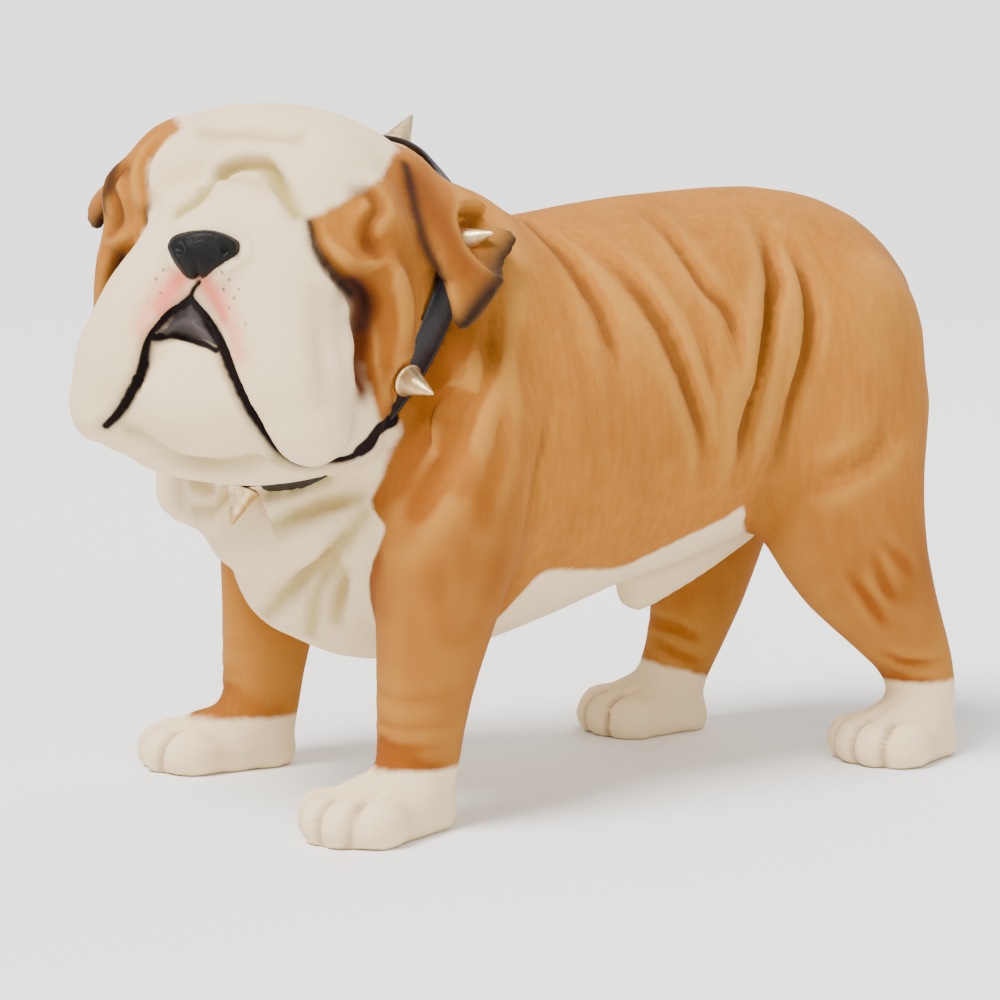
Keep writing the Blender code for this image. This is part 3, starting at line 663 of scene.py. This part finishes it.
pink = [
    (HEAD, 1.9, 1, [(1.7, -22.8, -8.4), (2.9, -21.6, -10.4), (4.4, -21, -12.8)]),
    (HEAD, 1.8, 0.6, [(4, -21.3, -9.5), (6, -21, -13), (7.8, -20, -17.5)]),
    (HEAD, 1.8, 1, [(-2.2, -22.4, -8.2), (-3.6, -21.6, -10), (-5, -21.4, -12.4)]),
    (HEAD, 1.7, 0.6, [(-4.8, -21.6, -9.4), (-6.4, -21, -12), (-7.4, -21, -15.4)]),
]
# Deeper tan on the ear and the cheek roll, painted shade in the cheek recess, and a painted shadow of the
# head on the neck and shoulder behind the cheek
head_tan_and_shade = [
    (BODY, 7, 0.9, CHEEK_BACK),
    (HEAD, 5, 0.8, EAR_MIDDLE),
    (HEAD, 4.5, 0.8, CHEEK_ROLL),
    (HEAD, 4, 0.8, CHEEK_RECESS),
]
for name, strokes in (("red_brown_and_shade", red_brown_and_shade), ("white_fold_shade", white_fold_shade), ("pink", pink)):
    keep(figure, name, sprayed(strokes))
# Dark paint, with painted shade in the eye sockets and the face's folds
keep(figure, "dark_paint_and_shade", np.maximum(sprayed(dark_paint_and_shade), sprayed(ear_edges, skin=None)))


def shade_low_down():
    """Painted shade: the tan darkens toward the feet, less on the far side."""
    x, y, z = body_places.T
    low = np.clip((np.where(y < 0, 62, 48) - z) / 20, 0, 1)
    near_the_legs = np.clip((np.abs(y + 3) - 20) / 9, 0, 1)
    return np.where(x > 0, 1, 0.5) * low * near_the_legs


# Painted shade low on the body and under the head, with the deeper tan of the ear and cheek
keep(figure, "darker_tan_and_shade", np.maximum(shade_low_down(), sprayed(head_tan_and_shade)))


def hollows(rounds):
    """How deep each point lies below the skin round it, in metres. Ridges come out negative."""
    places = read_vectors(figure, "co")
    normals = read_vectors(figure, "normal")
    edges = np.empty(len(figure.data.edges) * 2, int)
    figure.data.edges.foreach_get("vertices", edges)
    a, b = edges.reshape(-1, 2).T
    count = np.bincount(a, minlength=len(places)) + np.bincount(b, minlength=len(places))
    relaxed = places.copy()
    for _ in range(rounds):
        total = np.zeros_like(places)
        for axis in range(3):
            total[:, axis] = np.bincount(a, relaxed[b, axis], len(places))
            total[:, axis] += np.bincount(b, relaxed[a, axis], len(places))
        relaxed = 0.5 * relaxed + 0.5 * total / count[:, None]
    return ((relaxed - places) * normals).sum(1)


# The depth drives painted shade in the furrows and a painted highlight on the crests
keep(figure, "hollow", hollows(30))


# The coat's finish
#
# Nylon flock: short fibres, about a millimetre long, shot into wet glue so that they stand up. It
# gives a dull velvety skin that scatters light at its edges and shows faint brushed streaks.


def linear(code):
    """An sRGB hex colour as linear red, green, blue and alpha."""
    shares = [int(code[k:k + 2], 16) / 255 for k in (1, 3, 5)]
    return [s / 12.92 if s < 0.04045 else ((s + 0.055) / 1.055) ** 2.4 for s in shares] + [1]


def add(tree, kind, inputs=None, output=0, **settings):
    """Adds a node with its settings and links, and returns one of its outputs.

    An input is a value or another node's output, under its socket's name or number.
    """
    node = tree.nodes.new("ShaderNode" + kind)
    for name, value in settings.items():
        setattr(node, name, value)
    for socket, value in (inputs or {}).items():
        if isinstance(value, bpy.types.NodeSocket):
            tree.links.new(value, node.inputs[socket])
        else:
            node.inputs[socket].default_value = value
    return node.outputs[output]


def new_material(name):
    material = bpy.data.materials.new(name)
    material.use_nodes = True
    tree = material.node_tree
    return material, tree, tree.nodes["Principled BSDF"]


def patterns_of(tree, place, patterns):
    """Blotchy patterns from the real size of their blotches: name, millimetres, stretch and detail."""
    made = {}
    for name, size_mm, stretch, detail in patterns:
        scaled = add(tree, "Mapping", {0: place, 3: [1000 / size_mm / s for s in stretch]})
        made[name] = add(tree, "TexNoise", {"Vector": scaled, "Scale": 1.0, "Detail": detail})
    return made


def soft_steps(tree, steps):
    """Shares that rise softly: name, value, where it starts and ends, and the shares there."""
    made = {}
    for name, value, start, end, first, last in steps:
        inputs = {0: value, 1: start, 2: end, 3: first, 4: last}
        made[name] = add(tree, "MapRange", inputs, interpolation_type="SMOOTHSTEP")
    return made


def layered(tree, colour, layers):
    """Lays colours over a colour, each by its share."""
    for share, over in layers:
        colour = add(tree, "Mix", {0: share, 6: colour, 7: over}, output=2, data_type="RGBA")
    return colour


TAN = "#A0621D"
# Lighter tan, for the random streaks and the painted highlight on the folds' crests
TAN_LIGHT = "#B98339"
# Darker tan: painted shade low on the body and under the head, and the deeper tan of the ear and cheek
WARM_TAN_AND_SHADE = "#82450B"
# Deepest tan, for the random blotches and the painted shade in the folds' furrows
TAN_DEEP = "#5E2E06"
WHITE = "#E7CFA6"
# Darker cream: painted shade in the white's furrows
WHITE_IN_SHADE = "#A1864A"
# Khaki: painted shade in the white's creases
KHAKI_SHADE = "#A5904C"
PINK = "#EA8468"
# Red-brown paint, and painted shade in the face's recesses
RED_BROWN_AND_SHADE = "#5A280A"
# Near black: ear edges, lips, eyes and whisker dots, and painted shade in the eye sockets and face folds
NEAR_BLACK_AND_SHADE = "#1E1210"
LIP_BLACK = "#150C0B"
NOSE_BLACK = "#0E0C0B"
MOUTH_GREY = "#453F3F"
STREAK_MM = 5  # the way the fibres lie, brushed down the body
BLOTCH_MM = 60  # where the spray was heavier
RAGGED_MM = 9  # tufts along a painted edge
PILE_MM = 1.6  # clumps of flock, a little coarser than the fibres so that they show
EDGE_SOFT = 0.0012  # a painted edge fades over the length of the pile
WHITE_SOFT = 0.003  # the white is sprayed over a loose mask
RAGGED_REACH = 0.004
MARKS = ("hollow", "darker_tan_and_shade", "white_inside", "white_fold_shade", "pink", "red_brown_and_shade", "dark_paint_and_shade", "whisker_inside",
         "mouth_inside", "black_inside", "nose_inside")


def flock_finish():
    """Flock on resin: no shine but on the wet-looking nose and mouth, with painted highlight on the folds'
    crests and painted shade in their furrows.
    """
    material, tree, shader = new_material("nylon flock on resin")
    place = add(tree, "TexCoord", output="Object")
    marks = {name: add(tree, "Attribute", output="Fac", attribute_name=name) for name in MARKS}
    pattern = patterns_of(tree, place, [
        ("streaks", STREAK_MM, (1, 1, 5), 3.0),
        ("blotches", BLOTCH_MM, (1, 1, 1.8), 2.0),
        ("tufts", RAGGED_MM, (1, 1, 1), 3.0),
        ("pile", PILE_MM, (1, 1, 2), 1.0),
    ])
    ragged = add(tree, "Math", {0: pattern["tufts"], 1: 0.5}, operation="SUBTRACT")
    ragged = add(tree, "Math", {0: ragged, 1: RAGGED_REACH}, operation="MULTIPLY")
    ragged = add(tree, "Math", {0: marks["white_inside"], 1: ragged}, operation="ADD")
    share = soft_steps(tree, [
        ("streaked", pattern["streaks"], 0.3, 0.75, 0.05, 0.3),
        ("blotched", pattern["blotches"], 0.45, 0.75, 0, 0.2),
        # Painted shade in the furrows and painted highlight on the crests, by how deep the skin lies
        ("painted shade in tan furrows", marks["hollow"], 0.0003, 0.0035, 0, 0.65),
        ("painted highlight on tan crests", marks["hollow"], -0.0003, -0.0025, 0, 0.55),
        ("painted shade in white furrows", marks["hollow"], 0.0006, 0.005, 0, 0.5),
        ("white", ragged, -WHITE_SOFT, WHITE_SOFT, 0, 1),
        ("whiskers", marks["whisker_inside"], -0.0008, 0.0008, 0, 0.7),
        ("mouth", marks["mouth_inside"], -EDGE_SOFT, EDGE_SOFT, 0, 1),
        ("lips", marks["black_inside"], -EDGE_SOFT, EDGE_SOFT, 0, 1),
        ("nose", marks["nose_inside"], -0.5 * EDGE_SOFT, 0.5 * EDGE_SOFT, 0, 1),
    ])
    tan = layered(tree, linear(TAN), [
        (share["streaked"], linear(TAN_LIGHT)),
        # painted shade low down and under the head, deeper tan on the ear and cheek
        (marks["darker_tan_and_shade"], linear(WARM_TAN_AND_SHADE)),
        (share["blotched"], linear(TAN_DEEP)),
        # painted shade in the furrows, painted highlight on the crests
        (share["painted shade in tan furrows"], linear(TAN_DEEP)),
        (share["painted highlight on tan crests"], linear(TAN_LIGHT)),
    ])
    white = layered(tree, linear(WHITE), [
        # painted shade in the white's furrows
        (share["painted shade in white furrows"], linear(WHITE_IN_SHADE)),
        # painted shade in the white's creases
        (marks["white_fold_shade"], linear(KHAKI_SHADE)),
    ])
    coat = layered(tree, tan, [
        (share["white"], white),
        (marks["pink"], linear(PINK)),
        # red-brown paint, and painted shade in the face's recesses
        (marks["red_brown_and_shade"], linear(RED_BROWN_AND_SHADE)),
        # dark paint, and painted shade in the eye sockets and face folds
        (marks["dark_paint_and_shade"], linear(NEAR_BLACK_AND_SHADE)),
        (share["whiskers"], linear(NEAR_BLACK_AND_SHADE)),
        (share["mouth"], linear(MOUTH_GREY)),
        (share["lips"], linear(LIP_BLACK)),
        (share["nose"], linear(NOSE_BLACK)),
    ])
    tree.links.new(coat, shader.inputs["Base Color"])
    wet = add(tree, "Math", {0: share["nose"], 1: share["mouth"]}, operation="MAXIMUM")
    roughness = soft_steps(tree, [("coat", wet, 0, 1, 0.92, 0.5)])["coat"]
    tree.links.new(roughness, shader.inputs["Roughness"])
    shader.inputs["Sheen Weight"].default_value = 0.02
    shader.inputs["Sheen Roughness"].default_value = 0.45
    shader.inputs["Specular IOR Level"].default_value = 0.15
    bump = add(tree, "Bump", {"Height": pattern["pile"], "Strength": 0.35, "Distance": 0.0008})
    tree.links.new(bump, shader.inputs["Normal"])
    return material


figure.data.materials.clear()
figure.data.materials.append(flock_finish())
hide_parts("bulldog")
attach(figure, "root")


# The collar strap
#
# A flat strap of black bridle leather, 28 mm wide, with burnished round edges and a creased line
# along each side. It sits in its bed round the neck, under the jaw and over the nape.

STRAP_STEPS = 160
EDGE_ROUND = 0.35  # the section's fine sizes, in shares
CREASE_HALF = 0.15
CREASE_DEPTH = 0.1
CROWN = 0.03


def strap_section():
    """Half the outer face from its round edge over the crease to the middle, then mirrored and closed."""
    half, thick = 0.5 * STRAP_WIDTH / SHARE, STRAP_THICKNESS / SHARE
    crease = 0.8 * half
    edge = [(-half, -0.5 * thick), (-half + 0.12, -0.12 * thick), (-half + EDGE_ROUND, 0)]
    top = [(-crease - CREASE_HALF, 0), (-crease, -CREASE_DEPTH), (-crease + CREASE_HALF, 0), (0, CROWN)]
    near = edge + top
    far = [(-aside, out) for aside, out in near[-2::-1]]
    return near + far + [(half - EDGE_ROUND, -thick), (-half + EDGE_ROUND, -thick)]


def make_strap():
    """The section is swept round the neck, leaning a little with it."""
    section = strap_section()
    corners, faces = [], []
    for k in range(STRAP_STEPS):
        seat, out, across = strap_seat(360 * k / STRAP_STEPS)
        corners += [COLLAR @ (seat + out * o + across * a) for a, o in section]
    count = len(section)
    for k in range(STRAP_STEPS):
        here, there = k * count, (k + 1) % STRAP_STEPS * count
        for j in range(count):
            beyond = (j + 1) % count
            faces.append((here + j, there + j, there + beyond, here + beyond))
    mesh = bpy.data.meshes.new("collar_strap")
    mesh.from_pydata(corners, [], faces)
    strap = bpy.data.objects.new("collar_strap", mesh)
    bpy.context.scene.collection.objects.link(strap)
    only(strap)
    bpy.ops.object.mode_set(mode="EDIT")
    bpy.ops.mesh.select_all(action="SELECT")
    bpy.ops.mesh.normals_make_consistent(inside=False)
    bpy.ops.object.mode_set(mode="OBJECT")
    bpy.ops.object.shade_smooth_by_angle(angle=math.radians(50))
    return strap


LEATHER = "#0D0C11"
LEATHER_WORN = "#26242D"
GRAIN_MM = 1.8  # the cells of the grain
RUB_MM = 14  # patches rubbed by wear


def leather_finish():
    """Bridle leather, dyed black and waxed: a low shine broken by the grain, paler where it rubs."""
    material, tree, shader = new_material("black bridle leather")
    place = add(tree, "TexCoord", output="Object")
    scaled = add(tree, "Mapping", {0: place, 3: [1000 / GRAIN_MM] * 3})
    grain = add(tree, "TexVoronoi", {"Vector": scaled, "Scale": 1.0}, "Distance", feature="DISTANCE_TO_EDGE")
    rub = patterns_of(tree, place, [("rub", RUB_MM, (1, 1, 1), 3.0)])["rub"]
    share = soft_steps(tree, [
        ("worn", rub, 0.5, 0.8, 0, 0.6),
        ("roughness", rub, 0.3, 0.8, 0.42, 0.62),
        ("grain", grain, 0, 0.12, 0, 1),
    ])
    colour = layered(tree, linear(LEATHER), [(share["worn"], linear(LEATHER_WORN))])
    tree.links.new(colour, shader.inputs["Base Color"])
    tree.links.new(share["roughness"], shader.inputs["Roughness"])
    bump = add(tree, "Bump", {"Height": share["grain"], "Strength": 0.4, "Distance": 0.0003})
    tree.links.new(bump, shader.inputs["Normal"])
    return material


strap = make_strap()
strap.data.materials.append(leather_finish())
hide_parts("collar_band")
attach(strap, "root")


# The studs
#
# Six cones turned from brass, each screwed through the strap from behind, standing on a rim. They
# have a satin skin and a blunted point.

STUD_ROOM = 0.0003
# Half the stud's outline, from under its rim to its blunt point: shares of its base and of its length
STUD_PROFILE = [(0.30, 0), (0.49, 0.012), (0.5, 0.035), (0.49, 0.06), (0.455, 0.075), (0.43, 0.105),
                (0.36, 0.27), (0.27, 0.47), (0.18, 0.67), (0.1, 0.84), (0.062, 0.92), (0.04, 0.955),
                (0.016, 0.975)]
STUD_TIP = 0.98


def make_stud(name, degrees):
    """Spins the half outline round the stud's own axis, then stands it on the strap."""
    mesh = bpy.data.meshes.new(name)
    outline = [(radius * STUD_BASE, 0, STUD_ROOM + up * STUD_LENGTH) for radius, up in STUD_PROFILE]
    outline = [(0, 0, outline[0][2]), *outline, (0, 0, STUD_ROOM + STUD_TIP * STUD_LENGTH)]
    mesh.from_pydata(outline, [(k, k + 1) for k in range(len(outline) - 1)], [])
    stud = bpy.data.objects.new(name, mesh)
    bpy.context.scene.collection.objects.link(stud)
    only(stud)
    bpy.ops.object.mode_set(mode="EDIT")
    bpy.ops.mesh.select_all(action="SELECT")
    bpy.ops.mesh.spin(steps=40, angle=2 * math.pi, center=(0, 0, 0), axis=(0, 0, 1))
    bpy.ops.mesh.select_all(action="SELECT")
    bpy.ops.mesh.remove_doubles(threshold=0.00001)
    bpy.ops.mesh.normals_make_consistent(inside=False)
    bpy.ops.object.mode_set(mode="OBJECT")
    bpy.ops.object.shade_smooth_by_angle(angle=math.radians(35))
    seat, out, across = strap_seat(degrees)
    stand = Matrix((across, out.cross(across), out)).transposed().to_4x4()
    turn = COLLAR.to_3x3().normalized().to_4x4()
    stud.data.transform(Matrix.Translation(COLLAR @ seat) @ turn @ stand)
    return stud


BRASS = "#CBA565"
BRASS_BRIGHT = "#F0D8A6"
TARNISH_MM = 6
SCRATCH_MM = 0.9


def brass_finish():
    """Turned brass, wax polished: a satin shine with fine scratches and tarnish in blotches."""
    material, tree, shader = new_material("turned brass")
    place = add(tree, "TexCoord", output="Object")
    pattern = patterns_of(tree, place, [
        ("tarnish", TARNISH_MM, (1, 1, 1), 3.0),
        ("scratches", SCRATCH_MM, (1, 1, 1), 1.0),
    ])
    share = soft_steps(tree, [
        ("tarnished", pattern["tarnish"], 0.35, 0.7, 0, 1),
        ("roughness", pattern["tarnish"], 0.3, 0.8, 0.38, 0.52),
    ])
    colour = layered(tree, linear(BRASS_BRIGHT), [(share["tarnished"], linear(BRASS))])
    tree.links.new(colour, shader.inputs["Base Color"])
    tree.links.new(share["roughness"], shader.inputs["Roughness"])
    shader.inputs["Metallic"].default_value = 1.0
    bump = add(tree, "Bump", {"Height": pattern["scratches"], "Strength": 0.12, "Distance": 0.0002})
    tree.links.new(bump, shader.inputs["Normal"])
    return material


brass = brass_finish()
for number, degrees in enumerate(STUD_ANGLES, start=1):
    stud = make_stud(f"brass_stud_{number}", degrees)
    stud.data.materials.append(brass)
    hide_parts(f"collar_stud_{number}")
    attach(stud, "root")


# The studio
#
# A plain pale floor, painted matt, under three large soft lamps. The camera stands where the
# photograph was taken from, ahead of the dog's left shoulder and a little above its back.

FLOOR_RADIUS = 400  # far enough that its edge lies on the horizon
WORLD_STRENGTH = 0.85

bpy.ops.mesh.primitive_circle_add(vertices=96, radius=FLOOR_RADIUS, fill_type="NGON", location=(0, 0, 0))
floor = bpy.context.active_object
floor.name = "studio_floor"
# Matt paint on smooth board: pale and even, with no shine to catch the lamps
floor_paint, _, floor_shader = new_material("matt floor paint")
floor_shader.inputs["Base Color"].default_value = linear("#F2F1EF")
floor_shader.inputs["Roughness"].default_value = 0.9
floor.data.materials.append(floor_paint)

world = bpy.data.worlds.new("studio air")
bpy.context.scene.world = world
world.use_nodes = True
world.node_tree.nodes["Background"].inputs["Color"].default_value = linear("#FBFAF8")
world.node_tree.nodes["Background"].inputs["Strength"].default_value = WORLD_STRENGTH


def lamp_facing(name, kind, direction, distance, strength, **settings):
    """A lamp that faces the middle of the figure from one side."""
    light = bpy.data.lights.new(name, kind)
    light.energy = strength
    for setting, value in settings.items():
        setattr(light, setting, value)
    lamp = bpy.data.objects.new(name, light)
    bpy.context.scene.collection.objects.link(lamp)
    way = Vector(direction).normalized()
    lamp.location = Vector((0, 0, 0.25)) + way * distance
    lamp.rotation_euler = (-way).to_track_quat("-Z", "Y").to_euler()


lamp_facing("key lamp through a silk", "SUN", (0.15, -0.75, 1.3), 4, 6.4, angle=math.radians(28))
lamp_facing("side softbox", "AREA", (1.0, -0.2, 0.5), 2.8, 30, size=1.4)
lamp_facing("back softbox", "AREA", (-0.6, 1.0, 1.2), 3.0, 30, size=1.6)

CAMERA_TURN = 60.382
CAMERA_RISE = 7.958
CAMERA_DISTANCE = 3.1
CAMERA_AIM = (-4.84, -11.11, 40.79)
CAMERA_LENS = 148.4

camera = bpy.data.objects.new("camera", bpy.data.cameras.new("camera"))
bpy.context.scene.collection.objects.link(camera)
turn, rise = math.radians(CAMERA_TURN), math.radians(CAMERA_RISE)
away = Vector((math.sin(turn) * math.cos(rise), -math.cos(turn) * math.cos(rise), math.sin(rise)))
camera.location = BODY @ Vector(CAMERA_AIM) + away * CAMERA_DISTANCE
camera.rotation_euler = (-away).to_track_quat("-Z", "Y").to_euler()
camera.data.sensor_width = 36
camera.data.lens = CAMERA_LENS
bpy.context.scene.camera = camera
